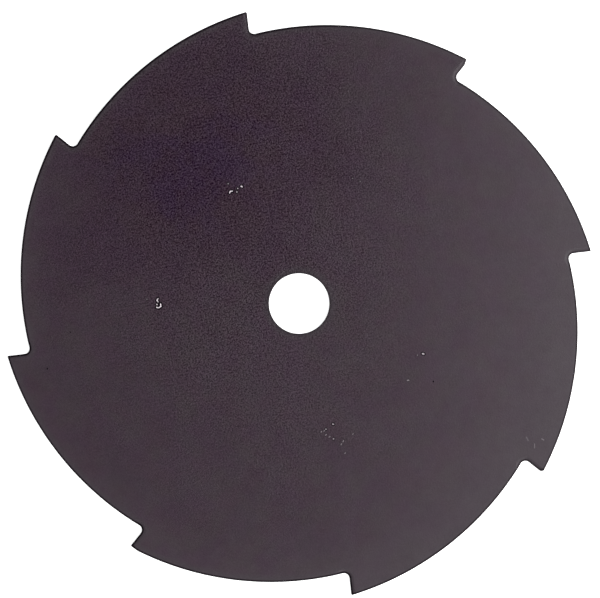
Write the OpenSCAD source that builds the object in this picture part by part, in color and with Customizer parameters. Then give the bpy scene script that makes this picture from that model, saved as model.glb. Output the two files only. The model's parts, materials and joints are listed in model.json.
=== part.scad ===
// Eight-tooth brush cutter blade, punched from one flat steel disc.
// The arbor hole's axis is Z, the underside is z = 0 and the first tooth's tip is on +X.
// Seen from above, the blade turns clockwise: front faces look clockwise and backs trail anticlockwise.

/* [Disc] */
// Diameter of the circle through the tooth tips
tip_d = 250; // [200:1:305]
// Thickness of the steel sheet
sheet_t = 1.4; // [1.2:0.1:3]
// Diameter of the arbor hole
bore_d = 25.4; // [10:0.1:30]

/* [Teeth] */
// Number of teeth
tooth_count = 8; // [4:1:10]
// Fall of a tooth's back, from its tip to the foot of the next tooth
tooth_drop = 9.9; // [7:0.1:14]
// Angle between the back and the circle through the tips, at a tip, in degrees
back_relief = 6.8; // [5.5:0.1:8]
// Angle by which a front face leans ahead of the radius at its tip, in degrees
hook = 3.6; // [0:0.1:12]
// Radius of the root between a front face and the back before it
root_r = 2.3; // [1:0.1:4]

/* [Edges] */
// Width of the bevel along a front face, seen from above
bevel_w = 1.6; // [0.5:0.1:3]
// Thickness left square below that bevel
land_t = 0.9; // [0.3:0.1:1]
// Radius that the punch rolls on the upper edge of the backs and the hole
roll_r = 0.25; // [0.1:0.05:0.4]
// Length by which each tip is blunted along its front face, and along its back
tip_blunt = 0.2; // [0.1:0.1:0.6]

/* [Hidden] */

$fn = 360;
small_fn = 48;
// How far a cutter runs past the face that it cuts, in mm and round the disc in degrees
over = 1;
over_angle = 1;
tip_r = tip_d / 2;
pitch = 360 / tooth_count;

// A unit vector at an angle, and a point turned about the disc's centre
function aim(angle) = [cos(angle), sin(angle)];
function turned(point, angle) =
    [point.x * cos(angle) - point.y * sin(angle), point.x * sin(angle) + point.y * cos(angle)];

// The back is one arc through its tip and its foot, which leaves the tip at the relief angle
tip = [tip_r, 0];
foot = (tip_r - tooth_drop) * aim(pitch);
chord = foot - tip;
back_r = -(chord * chord) / (2 * chord * aim(back_relief));
back_centre = tip - back_r * aim(back_relief);

// The front face runs inwards from its tip, and looks at the foot of the back before it
face_in = aim(180 - hook);
face_out = aim(-90 - hook);
before_centre = turned(back_centre, -pitch);

// The root's circle touches the front face and the back before it
root_reach = tip + root_r * face_out - before_centre;
root_along = -root_reach * face_in;
root_s = root_along - sqrt(root_along ^ 2 - root_reach * root_reach + (back_r + root_r) ^ 2);
root_centre = tip + root_s * face_in + root_r * face_out;
foot_in = turned(before_centre - root_centre, hook) / (back_r + root_r);

// The blank is a little larger than the tips' circle, and cutters reach past it all round
blank_r = tip_r + over;
cutter_r = (blank_r + over) / cos(pitch / 2 + over_angle);
over_t = sheet_t + 2 * over;
bevel_t = sheet_t - land_t;
bevel_run = bevel_w / bevel_t;

// Tips that lost more in use: the tooth, the loss along its front face and along its back
worn_tips = [[1, 2.6, 0.9], [5, 0.6, 4], [7, 1.1, 1]];

// Puts a shape at the root's centre, with X outwards along the front face and Y into the tooth
module at_root() {
    translate(root_centre) rotate(-hook) children();
}

// A flat outline made into a bar that runs through the sheet, and past both its faces
module through(past) {
    translate([0, 0, -past]) linear_extrude(sheet_t + 2 * past) children();
}

// Section of the waste outside a round edge of radius r, whose upper corner is rolled
module outside_rolled(r, width) {
    translate([r, -over]) square([width, over_t]);
    difference() {
        translate([r - roll_r, sheet_t - roll_r]) square([2 * roll_r, roll_r + over]);
        translate([r - roll_r, sheet_t - roll_r]) circle(r = roll_r, $fn = small_fn);
    }
}

// Section of the waste inside the arbor hole, whose upper corner is rolled too
module inside_rolled(r) {
    translate([0, -over]) square([r, over_t]);
    difference() {
        translate([0, sheet_t - roll_r]) square([r + roll_r, roll_r + over]);
        translate([r + roll_r, sheet_t - roll_r]) circle(r = roll_r, $fn = small_fn);
    }
}

// The steel round a root: the tooth behind its front face, and the corner that the root's circle hollows
module root_steel() {
    side = root_r + over;
    corner = [[0, 0], [0, side], side * (foot_in + [0, 1]), side * foot_in];
    through(3 * over) translate([-cutter_r, root_r]) square(2 * cutter_r);
    difference() {
        through(3 * over) polygon(corner);
        through(4 * over) circle(r = root_r, $fn = small_fn);
    }
}

// The waste over a tooth's back, up to the next tooth's front face
module gullet() {
    wedge = [[0, 0], cutter_r * aim(-over_angle), cutter_r * aim(pitch + over_angle)];
    difference() {
        intersection() {
            translate(back_centre) rotate_extrude() outside_rolled(back_r, cutter_r);
            through(2 * over) polygon(wedge);
        }
        rotate(pitch) at_root() root_steel();
    }
}

// The waste of the bevel along a front face, which runs out in a cone round the root
module bevel() {
    // How far the cutter starts below the bevel's lower edge, which keeps it round the root's centre
    dip = min(land_t / 4, root_r / bevel_run / 2);
    low_z = land_t - dip;
    high_z = sheet_t + over;
    low_r = root_r - dip * bevel_run;
    high_r = root_r + (bevel_t + over) * bevel_run;
    at_root() {
        rotate([90, 0, 90]) linear_extrude(root_s + over)
            polygon([[0, low_z], [low_r, low_z], [high_r, high_z], [0, high_z]]);
        translate([0, 0, low_z]) cylinder(h = high_z - low_z, r1 = low_r, r2 = high_r, $fn = small_fn);
    }
}

// What use took from a tip, beyond a straight line from the front face to the back
module knock(along_face, along_back) {
    low = tip + along_face * face_in;
    run = tip + along_back * aim(back_relief + 90) - low;
    width = along_face + along_back;
    translate(low) rotate(atan2(run.y, run.x)) through(over)
        translate([-over, -width]) square([norm(run) + 2 * over, width]);
}

module blade() {
    color("#3c3539") difference() {
        cylinder(h = sheet_t, r = blank_r);
        rotate_extrude() inside_rolled(bore_d / 2);
        for (i = [0 : tooth_count - 1]) rotate(i * pitch) {
            gullet();
            bevel();
            knock(tip_blunt, tip_blunt);
        }
        for (worn = worn_tips) rotate(worn[0] * pitch) knock(worn[1], worn[2]);
    }
}

blade();
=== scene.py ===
"""Eight-tooth brush cutter blade, punched from sheet steel and painted satin black.

The arbor hole's axis is Z, the underside is z = 0 and the first tooth's tip is on +X.
Seen from above, the blade turns clockwise: front faces look clockwise and backs trail anticlockwise.
"""

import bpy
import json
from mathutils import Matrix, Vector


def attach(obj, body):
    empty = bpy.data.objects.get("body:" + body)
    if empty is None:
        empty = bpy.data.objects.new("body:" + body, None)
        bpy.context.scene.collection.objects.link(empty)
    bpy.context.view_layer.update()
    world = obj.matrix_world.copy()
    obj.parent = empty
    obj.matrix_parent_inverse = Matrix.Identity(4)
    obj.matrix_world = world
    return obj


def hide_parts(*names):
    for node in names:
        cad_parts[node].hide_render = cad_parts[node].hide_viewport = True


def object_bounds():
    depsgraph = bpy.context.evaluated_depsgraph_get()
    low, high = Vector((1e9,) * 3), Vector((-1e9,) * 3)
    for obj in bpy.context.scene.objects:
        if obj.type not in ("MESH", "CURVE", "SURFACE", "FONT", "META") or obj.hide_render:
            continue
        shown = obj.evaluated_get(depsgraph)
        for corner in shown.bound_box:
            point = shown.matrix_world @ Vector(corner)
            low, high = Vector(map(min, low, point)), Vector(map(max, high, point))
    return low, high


bl_info = {
    "name": "Brush Cutter Blade",
    "version": (1, 0, 0),
    "blender": (4, 5, 0),
    "location": "3D View > Sidebar > Blade",
    "description": "Makes a painted eight-tooth brush cutter blade, with its floor, lights and camera",
    "category": "Add Mesh",
}

import json
import math

import bpy
from bpy.props import FloatProperty, FloatVectorProperty, IntProperty, PointerProperty
from mathutils import Vector, noise
from mathutils.geometry import delaunay_2d_cdt

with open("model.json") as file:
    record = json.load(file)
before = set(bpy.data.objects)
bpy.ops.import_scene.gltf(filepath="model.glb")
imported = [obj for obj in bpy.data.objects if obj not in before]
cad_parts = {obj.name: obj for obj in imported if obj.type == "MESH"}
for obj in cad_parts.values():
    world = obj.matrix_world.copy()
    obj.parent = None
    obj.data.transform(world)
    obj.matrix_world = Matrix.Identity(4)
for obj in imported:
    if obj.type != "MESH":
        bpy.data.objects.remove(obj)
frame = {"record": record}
cad_low, cad_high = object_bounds()

MM = 0.001
BORE_R = next(m["dims"]["r_mm"] for m in frame["record"]["mounts"] if m["name"] == "bore") * MM

# Depth of the band along every edge that is meshed in rings, from the edge inwards
BAND = 4 * MM
# Radius that the paint rounds each crease to
CREASE = 0.06 * MM
# How far the torn lower part of a punched wall stands back, where on its height it starts and is
# at its full depth, and over what length it varies
TEAR = 0.045 * MM
TEAR_TOP = 0.62
TEAR_FULL = 0.5
TEAR_LENGTH = 0.5 * MM
# Rounding of a lower edge
BURR = 0.04 * MM

# Half length over which wear has rounded each tooth's tip, in tooth order
TIP_WEAR = [0.15 * MM, 0.2 * MM, 0.55 * MM, 0.5 * MM, 0.2 * MM, 0.3 * MM, 0.2 * MM, 0.3 * MM]
# Tips that lost more in use: the tooth, the loss along its front face and along its back
KNOCKED = {1: (2.6 * MM, 0.9 * MM), 5: (0.6 * MM, 4.0 * MM), 7: (1.1 * MM, 1.0 * MM)}

# Paint chips: how bare the steel is, which also sets how dark the painted shade round the chip is, then the
# chip's width and the line that it follows, in mm.
# A chip with less than 0 is a black speck in the paint, with no steel bare
CHIPS = [
    (1.00, 0.56, [(-15.3, 52.9), (-15.0, 52.7)]),
    (0.55, 0.50, [(-16.9, 52.3)]),
    (0.55, 0.46, [(-17.5, 50.8), (-17.5, 51.0)]),
    (0.45, 0.50, [(-20.5, 55.0)]),
    (1.00, 0.40, [(-19.3, 51.57), (-20.1, 51.72), (-20.6, 51.0)]),
    (0.85, 0.42, [(-58.17, 12.56), (-58.74, 11.8), (-58.38, 11.18)]),
    (0.90, 0.56, [(-59.04, 10.14)]),
    (1.00, 0.42, [(-59.41, 9.05), (-58.62, 8.65), (-57.56, 9.06), (-57.45, 10.15)]),
    (0.20, 0.45, [(-62.8, 13.1)]),
    (0.55, 0.50, [(4.95, -52.5), (5.3, -52.6)]),
    (0.50, 0.50, [(1.8, -54.1)]),
    (0.42, 0.60, [(4.2, -58.7)]),
    (0.20, 0.40, [(-0.5, -55.0), (-0.2, -54.7)]),
    (0.20, 0.40, [(0.8, -54.8), (1.1, -54.6)]),
    (0.20, 0.40, [(1.2, -56.6), (1.6, -56.3)]),
    (0.20, 0.40, [(2.5, -57.6), (2.9, -57.4)]),
    (0.18, 0.40, [(12.5, -58.3), (12.7, -58.0)]),
    (0.18, 0.40, [(7.8, -65.6), (8.1, -65.3)]),
    (0.20, 0.40, [(7.9, -60.6), (8.2, -60.2)]),
    (0.20, 0.40, [(6.9, -61.7), (7.2, -61.3)]),
    (0.62, 0.62, [(47.5, -30.0), (47.95, -30.2)]),
    (0.18, 0.45, [(45.2, -30.2)]),
    (0.22, 0.50, [(39.2, -39.9), (39.8, -40.0)]),
    (0.18, 0.45, [(31.5, 48.0)]),
    (0.18, 0.45, [(34.4, 46.1)]),
    (0.12, 0.45, [(90.6, -74.2), (91.3, -74.8)]),
    (0.09, 0.40, [(87.2, -75.7), (86.9, -77.4)]),
    (0.08, 0.40, [(84.3, -72.3), (84.8, -73.9)]),
    (-0.8, 0.40, [(-109.3, -8.3)]),
    (-0.7, 0.40, [(-97.0, 5.1)]),
    (-0.9, 0.50, [(49.9, -42.3)]),
]
# Middle and reach of the patches of painted shade, of the strongest grain, and where the paint shines least,
# which deepens that painted shade
SHADOWED_PATCH = ((-38 * MM, 66 * MM), (95 * MM, 75 * MM))
GRAIN_PATCH = ((-25 * MM, 60 * MM), (113 * MM, 185 * MM))
DULL_PATCH = ((-12 * MM, 57 * MM), (110 * MM, 190 * MM))
# Middle and reach of the patch where the line of painted shade along the front faces is strong
EDGE_SHADE_PATCH = ((-60 * MM, -20 * MM), (175 * MM, 175 * MM))
# Middle and reach of the area round the arbor hole where the line of painted shade along its edge is faint
HOLE_PATCH = ((0, 0), (20 * MM, 20 * MM))
# Middle and reach of the area outside which a greyer painted sheen lies on the paint, towards the lit side
SHEEN_PATCH = ((-40 * MM, 30 * MM), (170 * MM, 170 * MM))
# Spacing of the mesh round a chip, its depth, the width of the painted shade round it, and how far off it
# can matter
CHIP_STEP = 0.13 * MM
CHIP_DEPTH = 0.05 * MM
CHIP_RIM = 0.8 * MM
CHIP_FAR = 4 * MM
# How far a chip's outline and the edge of its painted shade wander, and over what length
CHIP_WANDER = (0.09 * MM, 0.35 * MM)
RIM_WANDER = (0.3 * MM, 0.9 * MM)
# Half width of a chip's slope, the two ends of a speck's fade, and where the fade of a chip's painted shade
# starts
CHIP_SLOPE = 0.08 * MM
SPECK_FADE = (-0.1 * MM, 0.25 * MM)
RIM_START = 0.35 * MM
# How far a chip's close mesh runs past its rim, and how far from that the wide mesh stops
CHIP_MARGIN = 0.1 * MM
CHIP_CLEAR = 0.6 * MM

# Steps of the mesh round a root, along a front face, and along a back by its tip, midway and by its foot
ROOT_STEPS, FACE_STEPS, NEAR_STEPS, BACK_STEPS, FOOT_STEPS = 20, 22, 26, 66, 14
# Lengths of the back by its tip and by its foot, and how the steps crowd towards a tip
TIP_REACH = 12 * MM
FOOT_REACH = 3 * MM
CROWDING = 1.7
# Steps on each side of a point over which wear rounds a tip, and steps of the mesh over a rolled edge
WEAR_STEPS = 6
ROLL_STEPS = 6
# Steps of the mesh round the arbor hole, and rings and spacing of the vertices on the flat part
HOLE_STEPS = 240
FLAT_RINGS = 20
FLAT_STEP = 5 * MM
FLAT_MARGIN = 2 * MM
# Levels of a punched wall, as shares of its height, and depths of the rings under the sheet
WALL_SHARES = (0.86, 0.74, TEAR_TOP, 0.54, 0.4, 0.26, 0.12)
UNDER_DEPTHS = (0.3 * MM, 1.2 * MM, BAND)

# Scales of the paint's noises: clouds, brown and grey blotches, dull spots and specks, peel and grain
CLOUDS, BROWNS, GREYS = 28, 75, 95
SPOTS, SPECKS = 60, 260
PEEL, GRAIN = 1350, 1500
# Colour of the line of painted shade along an edge
EDGE_SHADE_BLACK = (0.005, 0.0025, 0.005)

# Soft lights: azimuth and elevation in degrees, as the picture shows them, and share of the key's power
LIGHTS = {
    "key_right": (8, 48, 1.0),
    "side_low": (-55, 42, 0.49),
    "fill_bottom": (255, 45, 0.14),
    "fill_left": (165, 45, 0.23),
}
# How many times brighter the room's walls are than its ceiling, and how pale it looks behind the blade
WALL_GLOW = 9
SEEN_GLOW = 0.85
# Half width of the floor, and how far below the blade it lies
FLOOR_REACH = 15.0
FLOOR_DROP = 0.3 * MM


def aim(angle):
    """A unit vector at an angle."""
    return Vector((math.cos(angle), math.sin(angle)))


def turned(point, angle):
    """A point turned about the disc's centre."""
    c, s = math.cos(angle), math.sin(angle)
    return Vector((point.x * c - point.y * s, point.x * s + point.y * c))


def smooth(low, high, x):
    """0 below low, 1 above high, and a smooth rise between them."""
    f = min(max((x - low) / (high - low), 0), 1)
    return f * f * (3 - 2 * f)


def soft_min(a, b, width):
    """The lower of two heights, with the crease between them rounded."""
    h = min(max(0.5 + 0.5 * (b - a) / width, 0), 1)
    return b + (a - b) * h - width * h * (1 - h)


class BladeSizes(bpy.types.PropertyGroup):
    """Sizes of the blade, with the CAD part's as defaults. The tips' circle is as wide as its box."""

    tip_d: FloatProperty(
        name="Tip diameter", description="Diameter of the circle through the tooth tips",
        default=cad_high.x - cad_low.x, min=0.2, max=0.305, subtype="DISTANCE", unit="LENGTH")
    sheet_t: FloatProperty(
        name="Thickness", description="Thickness of the steel sheet",
        default=cad_high.z - cad_low.z, min=1.2 * MM, max=3 * MM, subtype="DISTANCE", unit="LENGTH")
    bore_r: FloatProperty(
        name="Hole radius", description="Radius of the arbor hole",
        default=BORE_R, min=5 * MM, max=15 * MM, subtype="DISTANCE", unit="LENGTH")
    tooth_count: IntProperty(
        name="Teeth", description="Number of teeth", default=8, min=4, max=10)
    tooth_drop: FloatProperty(
        name="Tooth drop", description="Fall of a tooth's back, from its tip to the foot of the next tooth",
        default=9.9 * MM, min=7 * MM, max=14 * MM, subtype="DISTANCE", unit="LENGTH")
    back_relief: FloatProperty(
        name="Back relief", description="Angle between the back and the circle through the tips",
        default=math.radians(6.8), min=math.radians(5.5), max=math.radians(8),
        subtype="ANGLE", unit="ROTATION")
    hook: FloatProperty(
        name="Hook", description="Angle by which a front face leans ahead of the radius at its tip",
        default=math.radians(3.6), min=0, max=math.radians(12), subtype="ANGLE", unit="ROTATION")
    root_r: FloatProperty(
        name="Root radius", description="Radius of the root between a front face and the back before it",
        default=2.3 * MM, min=1 * MM, max=4 * MM, subtype="DISTANCE", unit="LENGTH")
    bevel_w: FloatProperty(
        name="Bevel width", description="Width of the bevel along a front face, seen from above",
        default=1.6 * MM, min=0.5 * MM, max=3 * MM, subtype="DISTANCE", unit="LENGTH")
    land_t: FloatProperty(
        name="Land", description="Thickness left square below the bevel",
        default=0.9 * MM, min=0.3 * MM, max=1 * MM, subtype="DISTANCE", unit="LENGTH")
    roll_r: FloatProperty(
        name="Rolled edge", description="Radius that the punch rolls on the upper edges",
        default=0.25 * MM, min=0.1 * MM, max=0.4 * MM, subtype="DISTANCE", unit="LENGTH")
    tip_blunt: FloatProperty(
        name="Blunt tip", description="Length by which each tip is blunted, along its face and its back",
        default=0.2 * MM, min=0.1 * MM, max=0.6 * MM, subtype="DISTANCE", unit="LENGTH")


class BladeFinish(bpy.types.PropertyGroup):
    """Colours and gloss of the paint and the bare steel. The paint's colour comes in lit and shaded copies,
    with painted shade and a greyer painted sheen.
    """

    # Painted shade: the paint's colour where less light falls, in the patch left above the hole
    paint_in_shade: FloatVectorProperty(
        name="Dark paint", description="Colour of the paint where it lies thick and even",
        default=(0.0158, 0.0028, 0.0134), min=0, max=1, subtype="COLOR")
    # Painted shade: the bluish colour at the heart of that patch
    paint_in_deep_shade: FloatVectorProperty(
        name="Bluish paint", description="Colour of the paint in the heart of that thick patch",
        default=(0.0140, 0.0012, 0.0158), min=0, max=1, subtype="COLOR")
    # Lit copy of the paint's colour, over the rest of the blade
    paint_in_light: FloatVectorProperty(
        name="Light paint", description="Colour of the paint over the rest of the blade",
        default=(0.0200, 0.0080, 0.0170), min=0, max=1, subtype="COLOR")
    # Painted sheen: the greyer colour along the edges and towards the lit side
    sheen_paint: FloatVectorProperty(
        name="Edge paint", description="Colour of the paint along the edges",
        default=(0.0215, 0.0130, 0.0195), min=0, max=1, subtype="COLOR")
    steel: FloatVectorProperty(
        name="Bare steel", description="Colour of the steel in a paint chip",
        default=(0.66, 0.59, 0.64), min=0, max=1, subtype="COLOR")
    gloss_rough: FloatProperty(
        name="Paint roughness", description="Roughness of the satin paint",
        default=0.46, min=0, max=1, subtype="FACTOR")


class BladeStage(bpy.types.PropertyGroup):
    """The floor, the lights and the camera above the blade."""

    roll: FloatProperty(
        name="Camera roll",
        description="Turn of the first tooth in the picture, anticlockwise from its right side",
        default=math.radians(10.17), subtype="ANGLE", unit="ROTATION")
    lens: FloatProperty(
        name="Lens", description="Focal length of the camera", default=120, min=20, max=300, unit="CAMERA")
    picture_w: FloatProperty(
        name="Picture width", description="Width of the blade's upper plane that the picture shows",
        default=0.2528, min=0.1, max=1, subtype="DISTANCE", unit="LENGTH")
    picture_x: FloatProperty(
        name="Picture offset right",
        description="How far right of the blade's centre the picture's centre is",
        default=0.36 * MM, subtype="DISTANCE", unit="LENGTH")
    picture_y: FloatProperty(
        name="Picture offset up",
        description="How far above the blade's centre the picture's centre is",
        default=1.91 * MM, subtype="DISTANCE", unit="LENGTH")
    floor: FloatVectorProperty(
        name="Floor", description="Colour of the floor",
        default=(0.86, 0.86, 0.86), min=0, max=1, subtype="COLOR")
    floor_glow: FloatProperty(
        name="Floor glow", description="Light that the floor gives by itself, as a light table does",
        default=0.75, min=0, max=2)
    room: FloatProperty(
        name="Room light", description="Strength of the even light from all round",
        default=0.04, min=0, max=5)
    key: FloatProperty(
        name="Key light", description="Power of the large soft light on the right",
        default=20.4, min=0, max=500, unit="POWER")


class Tooth:
    """Plan of one tooth and of the root in front of it, with its tip on +X. It repeats the part's source."""

    def __init__(self, sizes):
        tip_r = sizes.tip_d / 2
        self.sizes = sizes
        self.pitch = math.tau / sizes.tooth_count
        self.tip = Vector((tip_r, 0))
        foot = (tip_r - sizes.tooth_drop) * aim(self.pitch)
        chord = foot - self.tip
        self.back_r = -chord.dot(chord) / (2 * chord.dot(aim(sizes.back_relief)))
        self.back_centre = self.tip - self.back_r * aim(sizes.back_relief)
        self.face_in = aim(math.pi - sizes.hook)
        self.into = aim(math.pi / 2 - sizes.hook)
        before_centre = turned(self.back_centre, -self.pitch)
        reach = self.tip - sizes.root_r * self.into - before_centre
        along = -reach.dot(self.face_in)
        self.face_l = along - math.sqrt(
            along ** 2 - reach.dot(reach) + (self.back_r + sizes.root_r) ** 2)
        self.root_centre = self.tip + self.face_l * self.face_in - sizes.root_r * self.into
        to_foot = before_centre - self.root_centre
        self.foot_angle = math.atan2(to_foot.y, to_foot.x) % math.tau
        last = turned(self.root_centre, self.pitch) - self.back_centre
        self.back_l = self.back_r * (math.atan2(last.y, last.x) - sizes.back_relief)
        self.mitre = 1 / math.tan((math.pi / 2 - sizes.hook - sizes.back_relief) / 2)

    def sharp(self, u, loss):
        """Point of the edge at u from the tip: below 0 on the front face, above 0 on the back."""
        if -loss[0] < u < loss[1]:
            low, high = self.sharp(-loss[0], (0, 0)), self.sharp(loss[1], (0, 0))
            return low.lerp(high, (u + loss[0]) / (loss[0] + loss[1]))
        if u <= 0:
            return self.tip - u * self.face_in
        return self.back_centre + self.back_r * aim(self.sizes.back_relief + u / self.back_r)

    def worn(self, u, index):
        """The same point with the tip rounded: the mean of the edge over a short length."""
        loss = KNOCKED.get(index, (self.sizes.tip_blunt, self.sizes.tip_blunt))
        half = TIP_WEAR[index % len(TIP_WEAR)]
        if not -loss[0] - half < u < loss[1] + half:
            return self.sharp(u, loss)
        steps = range(-WEAR_STEPS, WEAR_STEPS + 1)
        near = (self.sharp(u + half * k / WEAR_STEPS, loss) for k in steps)
        return sum(near, Vector((0, 0))) / len(steps)

    def stations(self, index):
        """Points round one tooth, anticlockwise: each with its place on the edge, its partner at the band's
        inner side, and its distance along the tooth from the tip."""
        sizes, made = self.sizes, []
        first, last = self.foot_angle, math.pi / 2 - sizes.hook
        for k in range(ROOT_STEPS):
            way = aim(first + (last - first) * k / ROOT_STEPS)
            edge = self.root_centre + sizes.root_r * way
            u = -self.face_l - sizes.root_r * (last - first) * (1 - k / ROOT_STEPS)
            made.append((edge, edge + BAND * way, u))
        for k in range(FACE_STEPS, 0, -1):
            u = self.face_l * (k / FACE_STEPS) ** CROWDING
            slide = self.mitre * (1 - u / self.face_l)
            inner = self.sharp(-u, (0, 0)) + BAND * (self.into + slide * self.face_in)
            made.append((self.worn(-u, index), inner, -u))
        far = self.back_l - FOOT_REACH
        places = [TIP_REACH * (k / NEAR_STEPS) ** CROWDING for k in range(NEAR_STEPS)]
        places += [TIP_REACH + (far - TIP_REACH) * k / BACK_STEPS for k in range(BACK_STEPS)]
        places += [far + FOOT_REACH * k / FOOT_STEPS for k in range(FOOT_STEPS)]
        for u in places:
            out = aim(sizes.back_relief + u / self.back_r)
            along = Vector((-out.y, out.x))
            slide = self.mitre * max(0, 1 - u / TIP_REACH)
            inner = self.sharp(u, (0, 0)) + BAND * (slide * along - out)
            made.append((self.worn(u, index), inner, u))
        return made

    def height(self, point):
        """Height of the upper side at a point of the plan near this tooth."""
        sizes = self.sizes
        slope = (sizes.sheet_t - sizes.land_t) / sizes.bevel_w
        own = point - self.root_centre
        x, y = -own.dot(self.face_in), own.dot(self.into)
        rise = y if x > 0 else own.length
        before = turned(point, -self.pitch) - self.root_centre
        rise = min(rise, before.length) if before.length < 3 * sizes.root_r else rise
        ground = sizes.land_t + (rise - sizes.root_r) * slope
        inside = self.back_r - (point - self.back_centre).length
        return soft_min(sizes.sheet_t, ground, CREASE), rolled(sizes, inside)


def rolled(sizes, inside):
    """Height of the upper side at a distance inside a rolled edge."""
    short = sizes.roll_r - min(max(inside, 0), sizes.roll_r)
    return sizes.sheet_t - sizes.roll_r + math.sqrt(max(sizes.roll_r ** 2 - short ** 2, 0))


class Shell:
    """Collects the blade's mesh, with what the paint needs to know at each vertex."""

    def __init__(self):
        self.places, self.faces = [], []
        self.depth, self.ground, self.along, self.bare, self.rim = [], [], [], [], []

    def add(self, x, y, z, depth, ground=0.0, along=0.0, bare=0.0, rim=0.0):
        """Adds one vertex and returns its number."""
        self.places.append((x, y, z))
        for kept, value in zip((self.depth, self.ground, self.along, self.bare, self.rim),
                               (depth, ground, along, bare, rim)):
            kept.append(value)
        return len(self.places) - 1

    def strip(self, outer, inner):
        """Joins two closed rings by quads. From outside the sheet, outer runs anticlockwise under inner."""
        count = len(outer)
        for j in range(count):
            n = (j + 1) % count
            self.faces.append((outer[j], outer[n], inner[n], inner[j]))

    def sheet(self, outer, inner, loose, up):
        """Fills the flat part between two rings with triangles, through some loose vertices."""
        used = outer + inner + loose
        flat = [Vector(self.places[v][:2]) for v in used]
        a, b = len(outer), len(inner)
        edges = [(j, (j + 1) % a) for j in range(a)] + [(a + j, a + (j + 1) % b) for j in range(b)]
        _, _, found, source, _, _ = delaunay_2d_cdt(flat, edges, [], 1, 1e-8)
        for face in found:
            corners = [source[v][0] for v in face]
            # A triangle whose corners all lie on the inner ring would close the hole
            if all(a <= v < a + b for v in corners):
                continue
            made = [used[v] for v in corners]
            self.faces.append(tuple(made if up else reversed(made)))

    def mesh(self, name):
        """Makes the Blender mesh, shaded smooth with its real corners kept."""
        made = bpy.data.meshes.new(name)
        made.from_pydata(self.places, [], self.faces)
        for kept, values in (("depth", self.depth), ("ground", self.ground), ("along", self.along),
                             ("bare", self.bare), ("rim", self.rim)):
            made.attributes.new(kept, "FLOAT", "POINT").data.foreach_set("value", values)
        made.shade_smooth()
        made.set_sharp_from_angle(angle=math.radians(40))
        if made.validate(verbose=True):
            raise RuntimeError("the blade's mesh had faults")
        return made


def band_depths(sizes):
    """Distances from the edge at which the band has its rings, from the edge inwards."""
    roll = [sizes.roll_r * (1 - math.cos(math.pi / 2 * k / ROLL_STEPS)) for k in range(ROLL_STEPS + 1)]
    crease = [sizes.bevel_w + CREASE * k for k in (-3, -1.5, -0.5, 0.5, 1.5, 3)]
    return roll + [0.45 * MM, 0.75 * MM, 1.1 * MM, 1.4 * MM] + crease + [2.4 * MM, 3.1 * MM, BAND]


def chip_at(x, y):
    """How bare the steel is at a point, how dark the painted shade round a chip is there, and how dark a
    black speck.
    """
    bare, rim = 0.0, 0.0
    for strength, width, line in CHIPS:
        if abs(x - line[0][0] * MM) > CHIP_FAR or abs(y - line[0][1] * MM) > CHIP_FAR:
            continue
        gap = line_gap(Vector((x, y)), line) - width * MM / 2 + wander(x, y, CHIP_WANDER)
        if strength < 0:
            rim = max(rim, -strength * (1 - smooth(*SPECK_FADE, gap)))
            continue
        bare = max(bare, strength * (1 - smooth(-CHIP_SLOPE, CHIP_SLOPE, gap)))
        gap += abs(wander(x, y, RIM_WANDER))
        rim = max(rim, strength * (1 - smooth(RIM_START, CHIP_RIM, gap)))
    return bare, rim


def wander(x, y, size):
    """How far an outline strays at a point, for a size of its greatest stray and of its length."""
    stray, length = size
    return stray * noise.noise(Vector((x, y, 0)) / length)


def line_gap(point, line):
    """Distance from a point to the line that a chip follows."""
    ends = [Vector(p) * MM for p in line]
    if len(ends) == 1:
        return (point - ends[0]).length
    gaps = []
    for a, b in zip(ends, ends[1:]):
        f = min(max((point - a).dot(b - a) / (b - a).length_squared, 0), 1)
        gaps.append((point - a.lerp(b, f)).length)
    return min(gaps)


def loose_points(shell, sizes, low_r, high_r, z, chips):
    """Vertices spread over the flat part, close together round each chip."""
    made, marks = [], []
    if chips:
        for _, width, line in CHIPS:
            near = width * MM / 2 + CHIP_RIM + CHIP_MARGIN
            xs, ys = [p[0] * MM for p in line], [p[1] * MM for p in line]
            row_h = CHIP_STEP * math.sqrt(3) / 2
            for row in range(int((max(ys) - min(ys) + 2 * near) / row_h) + 1):
                y = min(ys) - near + row * row_h
                for col in range(int((max(xs) - min(xs) + 2 * near) / CHIP_STEP) + 1):
                    x = min(xs) - near + (col + 0.5 * (row % 2)) * CHIP_STEP
                    point = Vector((x, y))
                    if line_gap(point, line) > near or any(line_gap(point, m) < n for n, m in marks):
                        continue
                    bare, rim = chip_at(x, y)
                    made.append(shell.add(x, y, z - CHIP_DEPTH * bare, 1, bare=bare, rim=rim))
            marks.append((near + CHIP_STEP / 2, line))
    for k in range(FLAT_RINGS):
        radius = low_r + (high_r - low_r) * (k + 0.5) / FLAT_RINGS
        count = int(math.tau * radius / FLAT_STEP)
        for j in range(count):
            point = radius * aim(math.tau * (j + 0.5 * (k % 2)) / count)
            if all(line_gap(point, m) > n + CHIP_CLEAR for n, m in marks):
                made.append(shell.add(point.x, point.y, z, 1))
    return made


def wall_levels(edge_z, torn, place):
    """Insets and heights down a wall whose upper edge is at edge_z, to the underside."""
    levels = []
    for share in WALL_SHARES:
        z = edge_z * share
        rough = 0.6 + 0.8 * noise.noise(Vector((place.x, place.y, z)) / TEAR_LENGTH)
        levels.append((torn * TEAR * smooth(TEAR_TOP, TEAR_FULL, share) * max(rough, 0.1), z))
    return levels + [(torn * TEAR * 0.5, BURR), (BURR, 0.0)]


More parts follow.
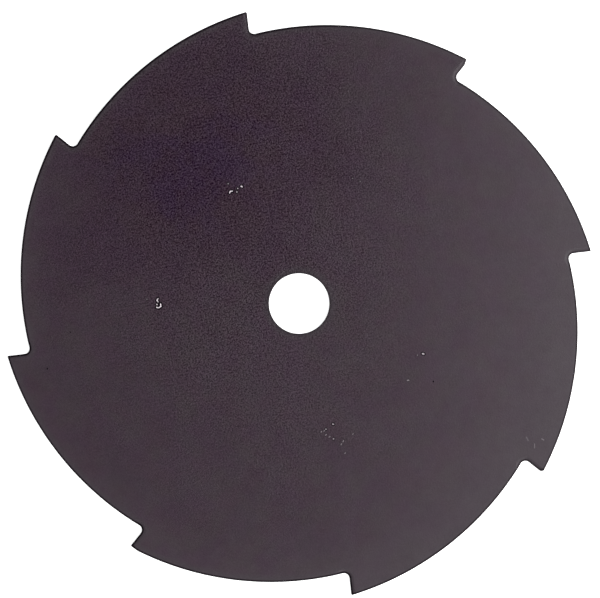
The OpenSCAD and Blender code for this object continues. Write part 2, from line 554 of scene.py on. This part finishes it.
def blade_mesh(sizes):
    """The whole blade as one closed mesh."""
    shell = Shell()
    tooth = Tooth(sizes)
    depths = band_depths(sizes)
    # Each wall has two more levels than shares: where its burr starts, and the underside
    wall_count = len(WALL_SHARES) + 2
    upper, lower, walls = [[] for _ in depths], [[] for _ in UNDER_DEPTHS], [[] for _ in range(wall_count)]
    for index in range(sizes.tooth_count):
        turn = index * tooth.pitch
        for edge, inner, u in tooth.stations(index):
            on_face = smooth(0.3 * MM, -0.1 * MM, u)
            for ring, depth in zip(upper, depths):
                point = edge.lerp(inner, depth / BAND)
                ground_z, back_z = tooth.height(point)
                is_ground = smooth(-0.05 * MM, 0.08 * MM, sizes.sheet_t - ground_z)
                z = min(ground_z, back_z) if u > -tooth.face_l else ground_z
                place = turned(point, turn)
                bare, rim = chip_at(place.x, place.y)
                ring.append(shell.add(place.x, place.y, z, depth / BAND, is_ground, u / MM, bare, rim))
                if depth == 0:
                    edge_z = z
            torn = 1 - 0.8 * on_face
            for ring, (inset, z) in zip(walls, wall_levels(edge_z, torn, turned(edge, turn))):
                place = turned(edge.lerp(inner, inset / BAND), turn)
                ring.append(shell.add(place.x, place.y, z, 0, on_face, u / MM))
            for ring, depth in zip(lower, UNDER_DEPTHS):
                place = turned(edge.lerp(inner, depth / BAND), turn)
                ring.append(shell.add(place.x, place.y, 0, depth / BAND))
    rings = upper[::-1] + walls + lower
    for inner_ring, outer_ring in zip(rings, rings[1:]):
        shell.strip(outer_ring, inner_ring)

    hole_up, hole_under = [[] for _ in depths], [[] for _ in UNDER_DEPTHS]
    hole_walls = [[] for _ in range(wall_count)]
    for k in range(HOLE_STEPS):
        way = aim(math.tau * k / HOLE_STEPS)
        for ring, depth in zip(hole_up, depths):
            place = (sizes.bore_r + depth) * way
            ring.append(shell.add(place.x, place.y, rolled(sizes, depth), depth / BAND))
        levels = wall_levels(sizes.sheet_t - sizes.roll_r, 1, sizes.bore_r * way)
        for ring, (inset, z) in zip(hole_walls, levels):
            place = (sizes.bore_r + inset) * way
            ring.append(shell.add(place.x, place.y, z, 0))
        for ring, depth in zip(hole_under, UNDER_DEPTHS):
            place = (sizes.bore_r + depth) * way
            ring.append(shell.add(place.x, place.y, 0, depth / BAND))
    hole_rings = hole_up[::-1] + hole_walls + hole_under
    for outer_ring, inner_ring in zip(hole_rings, hole_rings[1:]):
        shell.strip(outer_ring, inner_ring)

    low_r = sizes.bore_r + BAND + FLAT_MARGIN
    high_r = sizes.tip_d / 2 - sizes.tooth_drop - sizes.root_r - BAND - FLAT_MARGIN
    loose = loose_points(shell, sizes, low_r, high_r, sizes.sheet_t, True)
    shell.sheet(upper[-1], hole_up[-1], loose, True)
    loose = loose_points(shell, sizes, low_r, high_r, 0, False)
    shell.sheet(lower[-1], hole_under[-1], loose, False)
    return shell.mesh("painted_blade")


class Graph:
    """Short ways to add and link shader nodes."""

    def __init__(self, tree):
        self.tree = tree

    def node(self, kind, links=(), **settings):
        """Adds a node, sets its options, and fills its inputs from (name or number, value or socket)."""
        made = self.tree.nodes.new(kind)
        for name, value in settings.items():
            setattr(made, name, value)
        for name, value in links:
            self.put(made.inputs[name], value)
        return made

    def put(self, socket, value):
        """Links a socket to another, or sets its value."""
        if isinstance(value, bpy.types.NodeSocket):
            self.tree.links.new(value, socket)
        else:
            socket.default_value = value

    def maths(self, operation, a, b=0.0, clamp=False):
        """One maths node."""
        return self.node("ShaderNodeMath", ((0, a), (1, b)), operation=operation, use_clamp=clamp).outputs[0]

    def spread(self, value, low, high, to_low=0.0, to_high=1.0, smooth_ends=True):
        """Maps a range of a value to another, and stops at its ends."""
        kind = "SMOOTHSTEP" if smooth_ends else "LINEAR"
        links = (("Value", value), ("From Min", low), ("From Max", high),
                 ("To Min", to_low), ("To Max", to_high))
        return self.node("ShaderNodeMapRange", links, interpolation_type=kind).outputs["Result"]

    def mix(self, share, a, b):
        """Mixes two colours."""
        made = self.node("ShaderNodeMix", data_type="RGBA")
        for socket, value in zip((made.inputs[0], made.inputs[6], made.inputs[7]), (share, a, b)):
            self.put(socket, value)
        return made.outputs[2]

    def scale(self, colour, factor):
        """A colour times a number."""
        made = self.node("ShaderNodeVectorMath", ((0, colour), ("Scale", factor)), operation="SCALE")
        return made.outputs["Vector"]

    def times(self, colour, factors):
        """A colour times another."""
        made = self.node("ShaderNodeVectorMath", ((0, colour), (1, factors)), operation="MULTIPLY")
        return made.outputs["Vector"]

    def reach(self, place, patch):
        """Distance from a patch's middle, as a share of its reach along X and along Y."""
        (x, y), (reach_x, reach_y) = patch
        off = self.node("ShaderNodeVectorMath", ((0, place), (1, (x, y, 0))), operation="SUBTRACT")
        share = self.times(off.outputs["Vector"], (1 / reach_x, 1 / reach_y, 0))
        return self.node("ShaderNodeVectorMath", ((0, share),), operation="LENGTH").outputs["Value"]

    def noise(self, place, scale, detail=2.0, roughness=0.5):
        """Noise over the surface, about 0 to 1."""
        links = (("Vector", place), ("Scale", scale), ("Detail", detail), ("Roughness", roughness))
        return self.node("ShaderNodeTexNoise", links).outputs["Fac"]

    def vertex(self, name):
        """A value that the mesh holds at its vertices."""
        return self.node("ShaderNodeAttribute", attribute_name=name).outputs["Fac"]


def new_material(name):
    """An empty node material with its principled shader."""
    made = bpy.data.materials.new(name)
    made.use_nodes = True
    return made, Graph(made.node_tree), made.node_tree.nodes["Principled BSDF"]


def opaque(colour):
    """A colour with full alpha, for a node's socket."""
    return (*colour, 1.0)


def black_paint(finish):
    """Satin black enamel on sheet steel: fine grain, a patch of painted shade, a greyer painted sheen along
    the edges with a black line of painted shade, and bare chips with painted shade round them.
    """
    made, g, shader = new_material("satin_black_paint")
    place = g.node("ShaderNodeTexCoord").outputs["Object"]
    depth, ground, along, bare, rim = (g.vertex(n) for n in ("depth", "ground", "along", "bare", "rim"))

    # Painted shade: one darker patch, bluish at its heart, lies left above the hole, where less light falls
    cloud = g.maths("SUBTRACT", g.noise(place, CLOUDS, 3, 0.6), 0.5)
    far = g.maths("ADD", g.reach(place, SHADOWED_PATCH), cloud)
    shadowed = g.spread(far, 0.45, 0.95, 1.0, 0.0)
    heart = g.spread(far, 0.05, 0.42, 1.0, 0.0)
    colour = g.mix(shadowed, opaque(finish.paint_in_light), opaque(finish.paint_in_shade))
    colour = g.mix(heart, colour, opaque(finish.paint_in_deep_shade))

    # Fine grain, strongest left above the hole
    cloud = g.maths("MULTIPLY", cloud, 0.5)
    strength = g.spread(g.maths("ADD", g.reach(place, GRAIN_PATCH), cloud), 0.2, 1.0, 1.0, 0.12)
    grain = g.noise(place, GRAIN, 1, 0.6)
    grains = g.maths("MULTIPLY", g.spread(grain, 0.3, 0.7, -1.0, 1.0, False), strength)
    colour = g.scale(colour, g.maths("ADD", 1.0, g.maths("MULTIPLY", grains, 0.42)))

    # Slow blotches: bluer or browner ones, mostly by the patch of painted shade, and pinker or greyer ones
    # all over
    brown = g.spread(g.noise(place, BROWNS), 0.4, 0.6)
    blotches = g.mix(brown, g.times(colour, (0.99, 0.95, 1.1)), g.times(colour, (1.04, 1.2, 0.84)))
    colour = g.mix(g.spread(far, 0.25, 0.65, 1.0, 0.3), colour, blotches)
    grey = g.spread(g.noise(place, GREYS, 3, 0.6), 0.35, 0.65)
    colour = g.mix(grey, g.times(colour, (1.01, 0.83, 1.0)), g.times(colour, (0.99, 1.17, 1.0)))

    # Painted sheen: greyer along the edges and towards the lit side. Painted shade: an almost black line
    # along the edges
    outer = g.spread(g.reach(place, SHEEN_PATCH), 0.78, 1.02, 0.0, 0.8)
    outer = g.maths("MAXIMUM", outer, g.spread(depth, 0.3, 1.0, 1.0, 0.0))
    colour = g.mix(outer, colour, opaque(finish.sheen_paint))
    # The line of painted shade is strongest along the front faces in one patch, and faint round the hole
    fronts = g.spread(g.reach(place, EDGE_SHADE_PATCH), 0.7, 1.0, 0.95, 0.6)
    share = g.spread(ground, 0.0, 1.0, g.spread(strength, 0.0, 0.6, 0.62, 1.0, False), fronts, False)
    width = g.spread(ground, 0.0, 1.0, g.spread(strength, 0.0, 0.6, 0.21, 0.38, False), 0.28, False)
    share = g.maths("MULTIPLY", share, g.spread(g.reach(place, HOLE_PATCH), 0.9, 1.1, 0.45, 1.0))
    edge_shade_line = g.maths("MULTIPLY", share, g.spread(depth, 0.13, width, 1.0, 0.0))
    # The black also takes the painted shade round each chip and the black specks
    black = g.maths("MAXIMUM", edge_shade_line, g.maths("MULTIPLY", rim, 1.6, True))
    colour = g.mix(black, colour, opaque(EDGE_SHADE_BLACK))
    colour = g.mix(bare, colour, opaque(finish.steel))

    # Where the paint is dark it also shines less, which a metal of that dark colour does. This deepens the
    # painted shade of the darker patch and of the black lines
    dull = g.spread(g.maths("ADD", g.reach(place, DULL_PATCH), cloud), 0.2, 1.0, 0.27, 0.03)
    dull = g.maths("SUBTRACT", dull, g.maths("MULTIPLY", grains, 0.5))
    dull = g.maths("ADD", dull, g.spread(g.noise(place, SPOTS), 0.3, 0.7, 0.0, 0.08, False))
    dull = g.maths("ADD", dull, g.spread(g.noise(place, SPECKS, 3, 0.7), 0.3, 0.7, 0.0, 0.12, False))
    dull = g.maths("ADD", dull, g.maths("MULTIPLY", heart, 0.1))
    dull = g.maths("MAXIMUM", black, g.maths("ADD", dull, g.maths("MULTIPLY", shadowed, 0.04)))
    metal = g.mix(bare, dull, (0.5, 0.5, 0.5, 1.0))
    roughness = g.maths("ADD", finish.gloss_rough, g.maths("MULTIPLY", ground, 0.15))

    # Orange peel over the whole sheet, and fine grinding marks across the bevels
    peel = g.noise(place, PEEL, 2, 0.6)
    coarse = g.maths("ADD", 0.05, g.maths("MULTIPLY", strength, 1.1))
    marks = g.node("ShaderNodeTexNoise", (("W", along), ("Scale", 7.0), ("Detail", 3.0)),
                   noise_dimensions="1D")
    marks = g.maths("MULTIPLY", marks.outputs["Fac"], ground)
    bump = g.node("ShaderNodeBump", (("Strength", coarse), ("Distance", 0.2 * MM), ("Height", peel)))
    bump = g.node("ShaderNodeBump", (("Strength", 0.25), ("Distance", 0.05 * MM), ("Height", marks),
                                     ("Normal", bump.outputs[0])))

    g.put(shader.inputs["Base Color"], colour)
    g.put(shader.inputs["Roughness"], roughness)
    g.put(shader.inputs["Metallic"], metal)
    g.put(shader.inputs["Normal"], bump.outputs[0])
    shader.inputs["Specular IOR Level"].default_value = 0.5
    return made


def floor_paint(colour, glow):
    """Plain pale floor, with a faint unevenness and a glow of its own."""
    made, g, shader = new_material("pale_floor")
    place = g.node("ShaderNodeTexCoord").outputs["Object"]
    shade = g.spread(g.noise(place, 3, 2), 0.3, 0.7, 0.985, 1.0, False)
    g.put(shader.inputs["Base Color"], g.scale(tuple(colour), shade))
    shader.inputs["Roughness"].default_value = 0.9
    shader.inputs["Emission Color"].default_value = (1, 1, 1, 1)
    shader.inputs["Emission Strength"].default_value = glow
    shader.inputs["Specular IOR Level"].default_value = 0.1
    return made


def shown(name, data):
    """An object in the scene for some data."""
    made = bpy.data.objects.new(name, data)
    bpy.context.scene.collection.objects.link(made)
    return made


def softbox(name, azimuth, elevation, power, width=0.9, distance=1.3):
    """A large soft light that looks at the blade from a direction in degrees, as the picture shows it."""
    lamp = bpy.data.lights.new(name, "AREA")
    lamp.size, lamp.energy = width, power
    made = shown(name, lamp)
    a, e = math.radians(azimuth) - bpy.context.scene.blade_stage.roll, math.radians(elevation)
    way = Vector((math.cos(a) * math.cos(e), math.sin(a) * math.cos(e), math.sin(e)))
    made.location = way * distance
    made.rotation_euler = way.to_track_quat("Z", "Y").to_euler()
    made.visible_camera = False
    return made


def room_light(strength):
    """A room whose walls light the blade softly, with a dark ceiling, and which looks pale behind it."""
    made = bpy.data.worlds.new("room")
    made.use_nodes = True
    g = Graph(made.node_tree)
    way = g.node("ShaderNodeTexCoord").outputs["Generated"]
    height = g.node("ShaderNodeSeparateXYZ", ((0, way),)).outputs["Z"]
    walls = g.spread(height, 0.1, 0.75, strength * WALL_GLOW, strength)
    seen = g.node("ShaderNodeLightPath").outputs["Is Camera Ray"]
    background = made.node_tree.nodes["Background"]
    background.inputs["Color"].default_value = (1, 1, 1, 1)
    g.put(background.inputs["Strength"], g.maths("MAXIMUM", walls, g.maths("MULTIPLY", seen, SEEN_GLOW)))
    return made


class MakeBlade(bpy.types.Operator):
    """Makes the painted blade in place of the plain CAD solid"""

    bl_idname = "blade.make_blade"
    bl_label = "Make Blade"

    def execute(self, context):
        blade = shown("painted_blade", blade_mesh(context.scene.blade_sizes))
        blade.data.materials.append(black_paint(context.scene.blade_finish))
        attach(blade, "root")
        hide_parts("blade")
        return {"FINISHED"}


class MakeStage(bpy.types.Operator):
    """Makes the pale floor, the soft studio lights and the camera above the blade"""

    bl_idname = "blade.make_stage"
    bl_label = "Make Stage"

    def execute(self, context):
        scene, stage = context.scene, context.scene.blade_stage
        ground = bpy.data.meshes.new("floor")
        corners = [(-1, -1), (1, -1), (1, 1), (-1, 1)]
        places = [(FLOOR_REACH * x, FLOOR_REACH * y, -FLOOR_DROP) for x, y in corners]
        ground.from_pydata(places, [], [(0, 1, 2, 3)])
        floor = shown("floor", ground)
        ground.materials.append(floor_paint(stage.floor, stage.floor_glow))

        for name, (azimuth, elevation, share) in LIGHTS.items():
            softbox(name, azimuth, elevation, stage.key * share)
        scene.world = room_light(stage.room)
        scene.view_settings.view_transform = "Standard"

        camera = bpy.data.cameras.new("camera")
        camera.lens, camera.sensor_width = stage.lens, 36
        eye = shown("camera", camera)
        offset = turned(Vector((stage.picture_x, stage.picture_y)), -stage.roll)
        rise = stage.picture_w * stage.lens / camera.sensor_width
        eye.location = (offset.x, offset.y, scene.blade_sizes.sheet_t + rise)
        eye.rotation_euler = (0, 0, -stage.roll)
        camera.clip_start, camera.clip_end = 0.05, 50
        scene.camera = eye
        return {"FINISHED"}


class BladePanel(bpy.types.Panel):
    """Lists the blade's sizes, its finish, its stage and what makes them"""

    bl_idname = "VIEW3D_PT_brush_blade"
    bl_label = "Brush Cutter Blade"
    bl_space_type = "VIEW_3D"
    bl_region_type = "UI"
    bl_category = "Blade"

    def draw(self, context):
        for group, maker in ((context.scene.blade_sizes, MakeBlade), (context.scene.blade_finish, None),
                             (context.scene.blade_stage, MakeStage)):
            box = self.layout.box()
            for name in group.bl_rna.properties.keys():
                if name not in ("rna_type", "name"):
                    box.prop(group, name)
            if maker:
                box.operator(maker.bl_idname)


CLASSES = (BladeSizes, BladeFinish, BladeStage, MakeBlade, MakeStage, BladePanel)


def register():
    """Adds the blade's sizes, finish, stage, operators and panel to Blender."""
    for kind in CLASSES:
        bpy.utils.register_class(kind)
    bpy.types.Scene.blade_sizes = PointerProperty(type=BladeSizes)
    bpy.types.Scene.blade_finish = PointerProperty(type=BladeFinish)
    bpy.types.Scene.blade_stage = PointerProperty(type=BladeStage)


def unregister():
    """Takes them all away again."""
    del bpy.types.Scene.blade_stage, bpy.types.Scene.blade_finish, bpy.types.Scene.blade_sizes
    for kind in reversed(CLASSES):
        bpy.utils.unregister_class(kind)


def main():
    """Makes the blade and its stage."""
    register()
    bpy.ops.blade.make_blade()
    bpy.ops.blade.make_stage()


if __name__ == "__main__":
    main()
